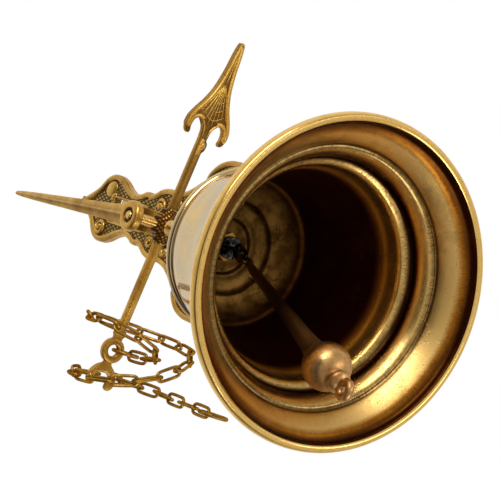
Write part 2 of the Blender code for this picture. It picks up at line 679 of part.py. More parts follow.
def build():
    clear_scene()
    yoke = axis_empty("yoke_axis", (0, PIN_Y, 0))
    shackle_axis = axis_empty("shackle_axis", (0, PIN_Y, SHACKLE_PIVOT_Z), yoke)
    clapper_axis = axis_empty("clapper_axis", (0, PIN_Y, CLAPPER_PIVOT_Z), shackle_axis)
    wall_plate()
    wall_screws()
    bracket_arm()
    leaf_finial()
    pivot_pin(yoke)
    pin_washer(yoke)
    hub(yoke)
    arrow_arm(yoke)
    eye_arm(yoke)
    crown_stem(yoke)
    crown_nut(yoke)
    bell_body(yoke)
    clapper_staple(yoke)
    shackle(shackle_axis)
    clapper(clapper_axis)
    connecting_ring(yoke)
    chain(yoke)
    shackle_axis.rotation_euler.y = CLAPPER_LEAN


build()
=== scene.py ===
import math

import bmesh
import bpy
from mathutils import Matrix, Vector


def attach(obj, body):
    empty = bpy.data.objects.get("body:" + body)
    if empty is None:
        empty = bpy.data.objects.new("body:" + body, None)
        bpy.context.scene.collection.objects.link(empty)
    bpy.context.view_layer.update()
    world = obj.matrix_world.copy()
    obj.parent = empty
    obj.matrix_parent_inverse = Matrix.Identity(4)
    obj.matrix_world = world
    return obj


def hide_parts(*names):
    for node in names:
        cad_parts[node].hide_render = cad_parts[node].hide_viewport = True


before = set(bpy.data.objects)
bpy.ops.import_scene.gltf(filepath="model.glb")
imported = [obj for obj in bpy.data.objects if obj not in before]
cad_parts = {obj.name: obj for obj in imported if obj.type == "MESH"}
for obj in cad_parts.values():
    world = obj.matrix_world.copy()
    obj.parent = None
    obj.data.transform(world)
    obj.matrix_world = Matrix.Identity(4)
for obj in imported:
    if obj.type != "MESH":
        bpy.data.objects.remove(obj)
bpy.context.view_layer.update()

# Sizes, in metres. The origin is on the wall, behind the pin that the bell swings on ------------
PIN_Y = -0.087
MOUTH = Vector((0.0, PIN_Y, -0.146))
LEVER_YAW = math.radians(6.0)
CLAPPER_LEAN = math.radians(21.0)
SHACKLE_Z = -0.0624
PLATE_MIDDLE_Z = 0.084
PLATE_GROUND = 0.0034             # thickness of the plate's sunken ground
PLATE_THICK = 0.0048
WINDOW_Z = 0.167
WINDOW_HALF = (0.0060, 0.0155)
SCREW_HEIGHTS = (0.050, 0.118)
SCREW_HOLE = 0.0022               # radius
CUT_REACH = 0.01                  # how far the cutter stands out of the plate's back, both ways
DISC_Y = -0.1055
DISC_RADIUS = 0.0071
DISC_HALF = 0.0023
BEARING_RADIUS = 0.0031
LEAF_LEAN = math.radians(3.5)
BAR_HALF = 0.0017                 # half the lever's thickness
EYE_X = -0.0607
ARM_START = 0.0087                # where the lever's two arms leave the hub
WEB_START = Vector((0.0700, 0.0))  # where the ribs of the arrow's web meet
HUB_HALF = 0.0054                 # half the hub's height
GAP = 0.0003                      # air between touching pieces
SPIRAL_STEPS = 44
RELIEF_SINK = 0.0003              # how deep raised ornament sits in the metal under it
BELL_HEIGHT = 0.098
CROWN_THICK = 0.0030
STEM_BELOW_CROWN = 0.0045
STEM_RADIUS = 0.0030
SHACKLE_LOW_Z = -0.0700           # middle of the shackle's lowest wire
SHACKLE_WIRE = 0.0009
CLAPPER_EYE_RADIUS = 0.0030
CLAPPER_EYE_WIRE = 0.0010
BALL_Z = -0.1590                  # before the clapper leans
BALL_RADIUS = 0.0106

# Colours of the metals (linear)
GOLD = (0.78, 0.47, 0.105)
PALE_GOLD = (0.84, 0.59, 0.24)
OLD_GOLD = (0.52, 0.28, 0.050)
SOFT_GOLD = (0.80, 0.51, 0.165)
BEIGE_GOLD = (0.62, 0.51, 0.325)
LIP_GOLD = (0.98, 0.63, 0.19)
BROWN = (0.12, 0.046, 0.010)
DEEP_BROWN = (0.045, 0.012, 0.002)
BLACK_BROWN = (0.050, 0.006, 0.0015)
COPPER = (0.72, 0.42, 0.16)
STEEL = (0.20, 0.19, 0.18)
BLACK_STEEL = (0.012, 0.011, 0.010)
# a painted dark reflection along the chain wire's edges
PAINTED_DARK_EDGE_TINT = (0.40, 0.22, 0.05, 1.0)  # the chain's colour where its wire turns away
AMBER = (0.38, 0.145, 0.013)
FRINGE_BROWN = (0.03, 0.010, 0.002)
BAND_REACH = 0.040                # the banded part inside the bell, up from the mouth
# Heights over the mouth and the colours there: patina bands with painted shade, dark in the channel and
# cove, each ridge darkening where it turns from the light, and black-brown shade deep inside
INSIDE_PATINA_AND_SHADE_BANDS = ((0.0000, DEEP_BROWN), (0.0036, (0.06, 0.018, 0.003)), (0.0046, (0.14, 0.045, 0.006)),
                (0.0056, AMBER), (0.0072, SOFT_GOLD), (0.0126, SOFT_GOLD), (0.0184, SOFT_GOLD),
                (0.0202, AMBER), (0.0214, (0.05, 0.016, 0.003)), (0.0238, DEEP_BROWN), (0.0246, SOFT_GOLD),
                (0.0290, GOLD), (0.0306, (0.66, 0.33, 0.055)), (0.0330, (0.60, 0.26, 0.032)),
                (0.0354, (0.40, 0.15, 0.016)), (0.0382, (0.13, 0.038, 0.005)), (0.0400, BLACK_BROWN))
FRINGES = ((0.0131, 0.0139, 0.0011), (0.0216, 0.0238, 0.0016))  # dark rings: start, end, reach of strokes
FRINGE_SOFT = 0.0004              # how softly a dark ring starts


# Camera and light -------------------------------------------------------------------------------

CAMERA_DISTANCE = 1.5
FOCAL_LENGTH = 258.66             # for a sensor 36 mm wide
SENSOR = 36.0
CAMERA_TILT = math.radians(33.92)  # between the bell's axis and the line of sight
CAMERA_ROLL = math.radians(17.91)
MOUTH_OFFSET = (0.18726, -0.06914)  # the mouth's centre in the picture, in widths from its middle
LAMP_DISTANCE = 1.3               # from the mouth
FLOOR_HALF = 4.0
FLOOR_Z = -2.2
FLOOR_GREY = (0.8, 0.8, 0.8, 1.0)
TENT = ((0.16, (0.80, 0.78, 0.75)), (0.34, (0.62, 0.60, 0.57)), (0.50, (0.46, 0.44, 0.41)),
        (0.66, (0.26, 0.24, 0.21)), (0.80, (0.05, 0.042, 0.035)),
        (1.00, (0.01, 0.008, 0.007)))  # brightness from away from the camera to towards it
TENT_PATCHES = 0.30               # how far the tent's uneven folds shift that brightness
TENT_LEAN = 0.20                  # how far it shifts from above to below


def camera_axes():
    """Directions towards the camera, and of the picture's right and up."""
    back = Vector((0.0, -math.sin(CAMERA_TILT), -math.cos(CAMERA_TILT)))
    down_axis = Vector((0.0, 0.0, -1.0))
    shown = (down_axis - back * back.dot(down_axis)).normalized()
    right = math.cos(CAMERA_ROLL) * shown + math.sin(CAMERA_ROLL) * back.cross(shown)
    return back, right, back.cross(right)


def make_camera():
    back, right, up = camera_axes()
    data = bpy.data.cameras.new("camera")
    data.sensor_width = SENSOR
    data.lens = FOCAL_LENGTH
    data.clip_start, data.clip_end = 0.01, 20.0
    camera = bpy.data.objects.new("camera", data)
    reach = CAMERA_DISTANCE * SENSOR / FOCAL_LENGTH
    camera.matrix_world = Matrix.Translation(
        MOUTH + back * CAMERA_DISTANCE - right * MOUTH_OFFSET[0] * reach - up * MOUTH_OFFSET[1] * reach
    ) @ Matrix((right, up, back)).transposed().to_4x4()
    bpy.context.scene.collection.objects.link(camera)
    bpy.context.scene.camera = camera


def softbox(name, towards, size, power):
    lamp = bpy.data.lights.new(name, "AREA")
    lamp.shape = "RECTANGLE"
    lamp.size, lamp.size_y = size
    lamp.energy = power
    light = bpy.data.objects.new(name, lamp)
    light.location = MOUTH + towards.normalized() * LAMP_DISTANCE
    light.rotation_euler = towards.to_track_quat("Z", "Y").to_euler()
    bpy.context.scene.collection.objects.link(light)


def make_lights():
    """A white tent that is open and dark towards the camera, and three softboxes."""
    back, right, up = camera_axes()
    softbox("key", up * 1.0 + back * 0.70 - right * 0.10, (1.0, 0.45), 7.5)
    softbox("low", -up * 1.0 + back * 0.45 + right * 0.3, (0.9, 0.30), 4.2)
    softbox("side", right * 1.0 + back * 0.6 + up * 0.1, (0.30, 0.9), 3.0)
    world = bpy.data.worlds.new("studio")
    bpy.context.scene.world = world
    world.use_nodes = True
    nodes, link = world.node_tree.nodes, world.node_tree.links.new
    tent = nodes["Background"]
    shown = nodes.new("ShaderNodeBackground")
    shown.inputs["Color"].default_value = (1.0, 1.0, 1.0, 1.0)
    place = nodes.new("ShaderNodeTexCoord")
    towards = nodes.new("ShaderNodeVectorMath")
    towards.operation = "DOT_PRODUCT"
    towards.inputs[1].default_value = back * 0.5 - up * TENT_LEAN
    patches = nodes.new("ShaderNodeTexNoise")
    patches.inputs["Scale"].default_value = 2.2
    patches.inputs["Detail"].default_value = 2.0
    share = nodes.new("ShaderNodeMath")
    share.operation = "ADD"
    share.inputs[1].default_value = 0.5 - TENT_PATCHES / 2
    blur = nodes.new("ShaderNodeMath")
    blur.operation = "MULTIPLY_ADD"
    blur.inputs[1].default_value = TENT_PATCHES
    ramp = nodes.new("ShaderNodeValToRGB")
    stops(ramp, TENT)
    path = nodes.new("ShaderNodeLightPath")
    mix = nodes.new("ShaderNodeMixShader")
    link(place.outputs["Generated"], towards.inputs[0])
    link(place.outputs["Generated"], patches.inputs["Vector"])
    link(patches.outputs["Fac"], blur.inputs[0])
    link(towards.outputs["Value"], share.inputs[0])
    link(share.outputs["Value"], blur.inputs[2])
    link(blur.outputs["Value"], ramp.inputs["Fac"])
    link(ramp.outputs["Color"], tent.inputs["Color"])
    link(path.outputs["Is Camera Ray"], mix.inputs["Fac"])
    link(tent.outputs["Background"], mix.inputs[1])
    link(shown.outputs["Background"], mix.inputs[2])
    link(mix.outputs["Shader"], nodes["World Output"].inputs["Surface"])


def make_floor():
    mesh = bpy.data.meshes.new("floor")
    corners = [(x * FLOOR_HALF, y * FLOOR_HALF, FLOOR_Z) for x, y in ((-1, -1), (1, -1), (1, 1), (-1, 1))]
    mesh.from_pydata(corners, [], [(0, 1, 2, 3)])
    floor = bpy.data.objects.new("floor", mesh)
    bpy.context.scene.collection.objects.link(floor)
    pale = bpy.data.materials.new("floor")
    pale.use_nodes = True
    pale.node_tree.nodes["Principled BSDF"].inputs["Base Color"].default_value = FLOOR_GREY
    floor.data.materials.append(pale)


# Materials --------------------------------------------------------------------------------------

def stops(ramp, entries):
    """Sets a colour ramp's stops from (place, colour) pairs."""
    elements = ramp.color_ramp.elements
    while len(elements) < len(entries):
        elements.new(0.5)
    for element, (place, colour) in zip(elements, entries):
        element.position = place
        element.color = (*colour, 1.0) if len(colour) == 3 else colour


class Shader:
    """A material under construction, with short ways to add and join nodes."""

    def __init__(self, name):
        self.material = bpy.data.materials.new(name)
        self.material.use_nodes = True
        self.nodes = self.material.node_tree.nodes
        self.link = self.material.node_tree.links.new
        self.bsdf = self.nodes["Principled BSDF"]
        self.place = self.nodes.new("ShaderNodeTexCoord").outputs["Object"]

    def noise(self, scale, detail=3.0, rough=0.55, stretch=None):
        node = self.nodes.new("ShaderNodeTexNoise")
        node.inputs["Scale"].default_value = scale
        node.inputs["Detail"].default_value = detail
        node.inputs["Roughness"].default_value = rough
        self.link(self.stretched(stretch) if stretch else self.place, node.inputs["Vector"])
        return node.outputs["Fac"]

    def stretched(self, scale, turn=(0.0, 0.0, 0.0)):
        node = self.nodes.new("ShaderNodeMapping")
        node.inputs["Scale"].default_value = scale
        node.inputs["Rotation"].default_value = turn
        self.link(self.place, node.inputs["Vector"])
        return node.outputs["Vector"]

    def pits(self, scale, size):
        """1 in small round pits, 0 between them."""
        node = self.nodes.new("ShaderNodeTexVoronoi")
        node.inputs["Scale"].default_value = scale
        node.inputs["Randomness"].default_value = 1.0
        self.link(self.place, node.inputs["Vector"])
        return self.between(node.outputs["Distance"], size, size * 0.4)

    def radial_strokes(self, fine, along):
        """Noise in short strokes that run up and down a bell's wall."""
        offset = self.nodes.new("ShaderNodeVectorMath")
        offset.operation = "MULTIPLY_ADD"
        offset.inputs[1].default_value = (1.0, 1.0, 0.0)
        offset.inputs[2].default_value = (0.0, -PIN_Y, 0.0)
        around = self.nodes.new("ShaderNodeVectorMath")
        around.operation = "NORMALIZE"
        rise = self.nodes.new("ShaderNodeVectorMath")
        rise.operation = "MULTIPLY_ADD"
        rise.inputs[1].default_value = (0.0, 0.0, along)
        noise = self.nodes.new("ShaderNodeTexNoise")
        noise.inputs["Scale"].default_value = fine
        noise.inputs["Detail"].default_value = 2.0
        self.link(self.place, offset.inputs[0])
        self.link(offset.outputs["Vector"], around.inputs[0])
        self.link(self.place, rise.inputs[0])
        self.link(around.outputs["Vector"], rise.inputs[2])
        self.link(rise.outputs["Vector"], noise.inputs["Vector"])
        return noise.outputs["Fac"]

    def between(self, value, low, high, to_low=0.0, to_high=1.0):
        node = self.nodes.new("ShaderNodeMapRange")
        node.inputs["From Min"].default_value = low
        node.inputs["From Max"].default_value = high
        node.inputs["To Min"].default_value = to_low
        node.inputs["To Max"].default_value = to_high
        self.link(value, node.inputs["Value"])
        return node.outputs["Result"]

    def math(self, kind, a, b):
        node = self.nodes.new("ShaderNodeMath")
        node.operation = kind
        for socket, value in zip(node.inputs, (a, b)):
            if isinstance(value, (int, float)):
                socket.default_value = value
            else:
                self.link(value, socket)
        return node.outputs["Value"]

    def mix(self, factor, a, b):
        node = self.nodes.new("ShaderNodeMix")
        node.data_type = "RGBA"
        self.link(factor, node.inputs["Factor"])
        for key, value in (("A", a), ("B", b)):
            socket = [s for s in node.inputs if s.name == key and s.type == "RGBA"][0]
            if isinstance(value, tuple):
                socket.default_value = (*value, 1.0)
            else:
                self.link(value, socket)
        return [s for s in node.outputs if s.type == "RGBA"][0]

    def world_height(self):
        split = self.nodes.new("ShaderNodeSeparateXYZ")
        self.link(self.place, split.inputs["Vector"])
        return split.outputs["Z"]

    def attribute(self, name):
        node = self.nodes.new("ShaderNodeAttribute")
        node.attribute_name = name
        return node.outputs["Fac"]

    def bump(self, height, distance, under=None):
        node = self.nodes.new("ShaderNodeBump")
        node.inputs["Distance"].default_value = distance
        self.link(height, node.inputs["Height"])
        if under is not None:
            self.link(under, node.inputs["Normal"])
        return node.outputs["Normal"]

    def finish(self, colour, roughness, normal):
        self.link(colour, self.bsdf.inputs["Base Color"])
        self.link(roughness, self.bsdf.inputs["Roughness"])
        self.link(normal, self.bsdf.inputs["Normal"])
        self.bsdf.inputs["Metallic"].default_value = 1.0
        return self.material


def worn_brass(name, bright, dull, polish, rough, spread=0.5, mottle=70.0, grain=0.00003, patina_and_shade=False):
    """Handled brass: polished patches, duller ones, fine casting grain, and brown patina with painted shade
    where a piece stores it per vertex.
    """
    s = Shader(name)
    patches = s.between(s.noise(mottle, 5.0, 0.62), spread - 0.14, spread + 0.16)
    colour = s.mix(patches, bright, dull)
    specks = s.between(s.noise(mottle * 14.0, 2.0), 0.60, 0.72)
    colour = s.mix(s.math("MULTIPLY", specks, 0.55), colour, BROWN)
    roughness = s.between(patches, 0.0, 1.0, polish, rough)
    if patina_and_shade:
        # Brown patina and painted shade: the stored per-vertex amount darkens the metal towards BROWN
        deep = s.attribute("patina_and_shade")
        edge = s.math("MULTIPLY", deep, s.between(s.noise(mottle * 5.0, 3.0), 0.2, 0.6, 0.75, 1.0))
        colour = s.mix(edge, colour, BROWN)
        roughness = s.math("ADD", roughness, s.math("MULTIPLY", deep, 0.22))
    scratches = s.noise(500.0, 2.0, 0.5, stretch=(1.0, 1.0, 0.06))
    normal = s.bump(s.noise(900.0, 4.0, 0.65), grain)
    normal = s.bump(scratches, grain * 0.25, under=normal)
    return s.finish(colour, roughness, normal)


def hatched_brass(name, bright, dark, pitch, slant, axis):
    """A cast, cross-hatched ground: dark between small raised lozenges.

    The lines turn by the slant both ways about the axis, 1 for Y and 2 for Z.
    """
    s = Shader(name)
    lines = []
    for angle in (slant, -slant):
        turn = [0.0, 0.0, 0.0]
        turn[axis] = math.radians(angle)
        wave = s.nodes.new("ShaderNodeTexWave")
        wave.wave_type = "BANDS"
        wave.bands_direction = "X"
        wave.inputs["Scale"].default_value = math.pi / 10.0 / pitch
        wave.inputs["Distortion"].default_value = 1.0
        wave.inputs["Detail"].default_value = 2.0
        wave.inputs["Detail Scale"].default_value = 2.0
        s.link(s.stretched((1.0, 1.0, 1.0), turn), wave.inputs["Vector"])
        lines.append(wave.outputs["Fac"])
    height = s.math("MULTIPLY", s.between(lines[0], 0.10, 0.60), s.between(lines[1], 0.10, 0.60))
    patches = s.noise(160.0, 4.0, 0.6)
    wear = s.math("MULTIPLY", height, s.between(patches, 0.30, 0.65, 0.45, 1.0))
    colour = s.mix(wear, dark, bright)
    roughness = s.between(wear, 0.0, 1.0, 0.58, 0.32)
    normal = s.bump(height, 0.0002)
    normal = s.bump(s.noise(1500.0, 3.0, 0.6), 0.00004, under=normal)
    return s.finish(colour, roughness, normal)


def bell_inside_brass():
    """Bare casting inside the bell: bands of gold and brown patina with painted shade on the ridges and in
    the hollows, and painted black-brown shade deep inside.

    The bands' edges are ragged, with short strokes that run in and out, and the gold is pitted.
    """
    s = Shader("bell_inside_brass")
    height = s.math("SUBTRACT", s.world_height(), MOUTH.z)
    strokes = s.radial_strokes(330.0, 3.0)
    drift = s.between(s.noise(30.0, 3.0, 0.55), 0.0, 1.0, -0.0010, 0.0010)
    ragged = s.math("ADD", s.math("ADD", height, drift), s.between(strokes, 0.3, 0.7, -0.0004, 0.0004))
    ramp = s.nodes.new("ShaderNodeValToRGB")
    s.link(s.between(ragged, 0.0, BAND_REACH), ramp.inputs["Fac"])
    stops(ramp, [(place / BAND_REACH, colour) for place, colour in INSIDE_PATINA_AND_SHADE_BANDS])
    colour = ramp.outputs["Color"]
    for start, end, reach in FRINGES:
        near = s.between(height, start - FRINGE_SOFT, start + FRINGE_SOFT)
        frayed = s.math("SUBTRACT", height, s.between(strokes, 0.42, 0.72, 0.0, reach))
        ring = s.math("MULTIPLY", near, s.between(frayed, end, end + 0.0010, 1.0, 0.0))
        colour = s.mix(s.math("MULTIPLY", ring, 0.85), colour, FRINGE_BROWN)
    deep = s.between(height, 0.080, 0.086)
    crown = s.mix(s.between(s.noise(120.0, 4.0, 0.6), 0.38, 0.62), (0.09, 0.040, 0.007), (0.26, 0.14, 0.032))
    colour = s.mix(deep, colour, crown)
    blotches = s.between(s.noise(70.0, 5.0, 0.66), 0.52, 0.68)
    colour = s.mix(s.math("MULTIPLY", blotches, 0.35), colour, BROWN)
    pits = s.math("MAXIMUM", s.pits(700.0, 0.30), s.pits(1250.0, 0.26))
    pits = s.math("MULTIPLY", pits, s.between(s.noise(95.0, 3.0), 0.40, 0.60))
    pits = s.math("MULTIPLY", pits, s.between(height, 0.0060, 0.0230, 0.35, 1.0))
    colour = s.mix(s.math("MULTIPLY", pits, 0.8), colour, DEEP_BROWN)
    roughness = s.math("MAXIMUM", s.between(height, 0.010, 0.014, 0.34, 0.26),
                       s.between(height, 0.026, 0.034, 0.20, 0.52))
    normal = s.bump(s.noise(420.0, 4.0, 0.62), 0.00004)
    normal = s.bump(s.math("SUBTRACT", 1.0, pits), 0.00014, under=normal)
    return s.finish(colour, roughness, normal)


def bell_outside_brass():
    """Lathe-polished outside with very fine turning marks and a little mottling."""
    s = Shader("bell_outside_brass")
    patches = s.between(s.noise(42.0, 5.0, 0.6), 0.40, 0.68)
    colour = s.mix(patches, BEIGE_GOLD, PALE_GOLD)
    specks = s.between(s.noise(900.0, 2.0), 0.62, 0.72)
    colour = s.mix(s.math("MULTIPLY", specks, 0.35), colour, BROWN)
    roughness = s.between(patches, 0.0, 1.0, 0.07, 0.17)
    turning = s.noise(1.0, 3.0, 0.6, stretch=(14.0, 14.0, 2600.0))
    normal = s.bump(turning, 0.000008)
    normal = s.bump(s.noise(60.0, 2.0), 0.00010, under=normal)
    return s.finish(colour, roughness, normal)


def forged_copper():
    """The clapper's coppery metal, with painted shade turning the rod dark brown towards its top inside the
    bell.
    """
    s = Shader("forged_copper")
    patches = s.between(s.noise(85.0, 5.0, 0.65), 0.36, 0.66)
    colour = s.mix(patches, COPPER, (0.36, 0.17, 0.055))
    # Painted shade: the rod darkens towards its top, up inside the bell
    high = s.between(s.world_height(), -0.138, -0.110)
    colour = s.mix(s.math("MULTIPLY", high, 0.85), colour, (0.09, 0.035, 0.012))
    specks = s.between(s.noise(1300.0, 2.0), 0.60, 0.70)
    colour = s.mix(s.math("MULTIPLY", specks, 0.5), colour, BROWN)
    roughness = s.between(patches, 0.0, 1.0, 0.28, 0.46)
    normal = s.bump(s.noise(160.0, 3.0), 0.00018)
    normal = s.bump(s.noise(1200.0, 4.0, 0.7), 0.00005, under=normal)
    return s.finish(colour, roughness, normal)


def dark_steel():
    """Blackened steel, bright where it rubs."""
    s = Shader("dark_steel")
    patches = s.between(s.noise(300.0, 4.0, 0.6), 0.48, 0.66)
    colour = s.mix(patches, BLACK_STEEL, STEEL)
    roughness = s.between(patches, 0.0, 1.0, 0.10, 0.26)
    return s.finish(colour, roughness, s.bump(s.noise(1100.0, 3.0), 0.00002))


# Mesh helpers -----------------------------------------------------------------------------------

def spline_point(a, b, c, d, t):
    """Catmull-Rom point between b and c."""
    return 0.5 * (2 * b + (c - a) * t + (2 * a - 5 * b + 4 * c - d) * t * t
                  + (3 * b - a - 3 * c + d) * t ** 3)


def smooth_line(points, between):
    """A smooth curve through the points, flat or in space, in so many steps between each pair."""
    points = [Vector(p) for p in points]
    ends = [2 * points[0] - points[1]] + points + [2 * points[-1] - points[-2]]
    line = []
    for i in range(1, len(ends) - 2):
        line += [spline_point(*ends[i - 1:i + 3], step / between) for step in range(between)]
    return line + [points[-1]]


def arc(centre, radius, start, end, count):
    angles = [math.radians(start + (end - start) * i / count) for i in range(count + 1)]
    return [Vector((centre[0] + radius * math.cos(a), centre[1] + radius * math.sin(a))) for a in angles]


def spiral(centre, outer, inner, start, turns):
    """A flat spiral, from its outer end in. Negative turns wind the other way."""
    path = []
    for i in range(SPIRAL_STEPS + 1):
        t = i / SPIRAL_STEPS
        angle = math.radians(start) + turns * 2.0 * math.pi * t
        radius = outer + (inner - outer) * t ** 0.8
        path.append(Vector((centre[0] + radius * math.cos(angle), centre[1] + radius * math.sin(angle))))
    return path


def mirror_path(path):
    return [Vector((-p.x, p.y)) for p in path]


def flip_path(path):
    return [Vector((p.x, -p.y)) for p in path]


def offset(outline, width):
    """A closed outline moved sideways by the width, to the right of the way it runs."""
    moved = []
    for i, p in enumerate(outline):
        along = (outline[(i + 1) % len(outline)] - outline[i - 1]).normalized()
        moved.append(Vector((p.x + along.y * width, p.y - along.x * width)))
    return moved


def skin(work, rings, caps=True):
    """Joins rings of places into one surface, closed at both ends if it has caps."""
    made = [[work.verts.new(p) for p in ring] for ring in rings]
    count = len(made[0])
    for low, high in zip(made, made[1:]):
        for i in range(count):
            j = (i + 1) % count
            work.faces.new((low[i], low[j], high[j], high[i]))
    if caps:
        work.faces.new(made[0])
        work.faces.new(made[-1])


def turned(work, profile, steps, place, materials=None):
    """Spins (radius, height) points about the place's Z. Ends on the axis are closed by a fan."""
    rings = []
    for radius, height in profile:
        if radius < 1e-7:
            rings.append([work.verts.new(place @ Vector((0, 0, height)))])
        else:
            rings.append([work.verts.new(place @ Vector((
                radius * math.cos(2 * math.pi * i / steps), radius * math.sin(2 * math.pi * i / steps),
                height))) for i in range(steps)])
    pairs = list(zip(rings, rings[1:]))
    if len(rings[0]) > 1 and len(rings[-1]) > 1:
        pairs.append((rings[-1], rings[0]))
    for n, (low, high) in enumerate(pairs):
        for i in range(steps):
            j = (i + 1) % steps
            corners = [low[i % len(low)], low[j % len(low)], high[j % len(high)], high[i % len(high)]]
            face = work.faces.new(list(dict.fromkeys(corners)))
            if materials:
                face.material_index = materials[min(n, len(materials) - 1)]


def torus(work, centre, radius, wire, normal, steps=40, sides=14):
    """A ring of round wire about the normal."""
    turn = normal.to_track_quat("Z", "Y").to_matrix()
    rings = []
    for i in range(steps):
        a = 2 * math.pi * i / steps
        ring = []
        for k in range(sides):
            b = 2 * math.pi * k / sides
            reach = radius + wire * math.cos(b)
            ring.append(centre + turn @ Vector((reach * math.cos(a), reach * math.sin(a),
                                                wire * math.sin(b))))
        rings.append(ring)
    made = [[work.verts.new(p) for p in ring] for ring in rings]
    for n in range(steps):
        low, high = made[n], made[(n + 1) % steps]
        for k in range(sides):
            m = (k + 1) % sides
            work.faces.new((low[k], low[m], high[m], high[k]))


def relief(work, path, width, height, place, closed=False, ends=0.35, sides=7):
    """A raised, rounded line along a flat path. The place maps (x, y, out) into the frame."""
    count = len(path)
    rings = []
    for i, point in enumerate(path):
        before = path[(i - 1) % count] if closed else path[max(i - 1, 0)]
        after = path[(i + 1) % count] if closed else path[min(i + 1, count - 1)]
        along = (after - before).normalized()
        across = Vector((-along.y, along.x))
        t = i / (count - 1)
        full = 1.0 if closed else ends + (1.0 - ends) * min(1.0, 6.0 * min(t, 1.0 - t))
        ring = [place @ Vector((point.x + across.x * width * full * math.cos(math.pi * k / sides),
                                point.y + across.y * width * full * math.cos(math.pi * k / sides),
                                height * full * math.sin(math.pi * k / sides) ** 0.8))
                for k in range(sides + 1)]
        sink = place.to_3x3() @ Vector((0, 0, -RELIEF_SINK))
        rings.append(ring + [ring[-1] + sink, ring[0] + sink])
    if closed:
        rings.append(rings[0])
    skin(work, rings, caps=not closed)


def dome(work, centre, half, height, place, steps=28, rings=7, turn=0.0):
    """A half-round boss, oval if half gives two radii."""
    levels = []
    for n in range(rings):
        a = math.pi / 2 * n / rings
        levels.append([place @ Vector((
            centre[0] + half[0] * math.cos(a) * math.cos(t) * math.cos(turn)
            - half[1] * math.cos(a) * math.sin(t) * math.sin(turn),
            centre[1] + half[0] * math.cos(a) * math.cos(t) * math.sin(turn)
            + half[1] * math.cos(a) * math.sin(t) * math.cos(turn),
            height * math.sin(a))) for t in (2 * math.pi * i / steps for i in range(steps))])
    sink = place.to_3x3() @ Vector((0, 0, -RELIEF_SINK))
    skin(work, [[p + sink for p in levels[0]]] + levels)


def slab(work, outline, low, high, place, edge=0.0):
    """An outline made solid from low to high, its top edge rounded by edge."""
    levels = [(outline, low)]
    if edge:
        inner = offset(outline, -edge)
        between = [o.lerp(n, 0.30) for o, n in zip(outline, inner)]
        levels += [(outline, high - edge), (between, high - edge * 0.30), (inner, high)]
    else:
        levels.append((outline, high))
    skin(work, [[place @ Vector((p.x, p.y, level)) for p in points] for points, level in levels])


def paint_patina_and_shade(mesh, patina_and_shade_at):
    """Stores how much brown patina and painted shade each vertex gets, in hollows and on shaded sides."""
    layer = mesh.attributes.new("patina_and_shade", "FLOAT", "POINT")
    for i, vertex in enumerate(mesh.vertices):
        layer.data[i].value = patina_and_shade_at(vertex.co)


def add_piece(name, work, materials, body, nodes=(), patina_and_shade_at=None, sharp=38.0):
    """Makes the object, lets it ride on its body and hides the CAD nodes that it stands for."""
    bmesh.ops.remove_doubles(work, verts=work.verts, dist=1e-7)
    bmesh.ops.recalc_face_normals(work, faces=work.faces)
    mesh = bpy.data.meshes.new(name)
    work.to_mesh(mesh)
    work.free()
    mesh.shade_smooth()
    mesh.set_sharp_from_angle(angle=math.radians(sharp))
    for material in materials:
        mesh.materials.append(material)
    # per-vertex amount of brown patina and painted shade
    if patina_and_shade_at:
        paint_patina_and_shade(mesh, patina_and_shade_at)
    piece = bpy.data.objects.new(name, mesh)
    bpy.context.scene.collection.objects.link(piece)
    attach(piece, body)
    if nodes:
        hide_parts(*nodes)
    return piece


def dress(node_name, material, bevel=0.0, wire=0.0):
    """Keeps a CAD node and gives it its finish, with edges bevelled or wire rounded and swelled.

    The node's triangles come unjoined, so they are welded first.
    """
    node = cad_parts[node_name]
    node.data.materials.clear()
    node.data.materials.append(material)
    node.modifiers.new("joined", "WELD").merge_threshold = 1e-6
    if bevel:
        step = node.modifiers.new("edges", "BEVEL")
        step.width = bevel
        step.segments = 3
        step.limit_method = "ANGLE"
        step.angle_limit = math.radians(40.0)
    if wire:
        step = node.modifiers.new("round", "SUBSURF")
        step.levels = step.render_levels = 2
        swell = node.modifiers.new("swell", "DISPLACE")
        swell.strength = wire
        swell.mid_level = 0.0
    else:
        node.modifiers.new("flats", "WEIGHTED_NORMAL").weight = 80
    node.data.shade_smooth()


# Wall plate -------------------------------------------------------------------------------------

def plate_place(out=0.0):
    """The plate's own frame: x across it, y up from its middle, z out into the room."""
    return Matrix.Translation((0, -out, PLATE_MIDDLE_Z)) @ Matrix.Rotation(math.radians(90.0), 4, "X")


def plate_outline(shrink=0.0):
    """The plate's outline: an ogee tip, a lobe, a scrolled neck and a wide lobe, both ways."""
    top = [(0.0, 0.1295), (0.0032, 0.1245), (0.0085, 0.1165), (0.0148, 0.1108), (0.0176, 0.1038),
           (0.0160, 0.0960), (0.0124, 0.0885), (0.0108, 0.0815), (0.0120, 0.0755), (0.0135, 0.0722),
           (0.0139, 0.0690), (0.0132, 0.0664), (0.0144, 0.0632), (0.0172, 0.0580), (0.0185, 0.0515),
           (0.0183, 0.0450), (0.0196, 0.0375), (0.0228, 0.0310), (0.0266, 0.0256), (0.0276, 0.0234),
           (0.0318, 0.0218), (0.0372, 0.0158), (0.0401, 0.0078), (0.0408, 0.0)]
    upper = smooth_line(top, 6)
    right = upper + flip_path(reversed(upper[:-1]))
    outline = right + mirror_path(reversed(right[1:-1]))
    return offset(outline, shrink)


def four_ways(path):
    return [path, mirror_path(path), flip_path(path), mirror_path(flip_path(path))]


def two_ways(path):
    return [path, mirror_path(path)]


def window_corners(wider=0.0, taller=0.0):
    """The window's four corners on the plate, moved out by so much."""
    half_x, half_z = WINDOW_HALF
    return [Vector((sx * (half_x + wider), WINDOW_Z - PLATE_MIDDLE_Z + sz * (half_z + taller)))
            for sx, sz in ((1, 1), (-1, 1), (-1, -1), (1, -1))]


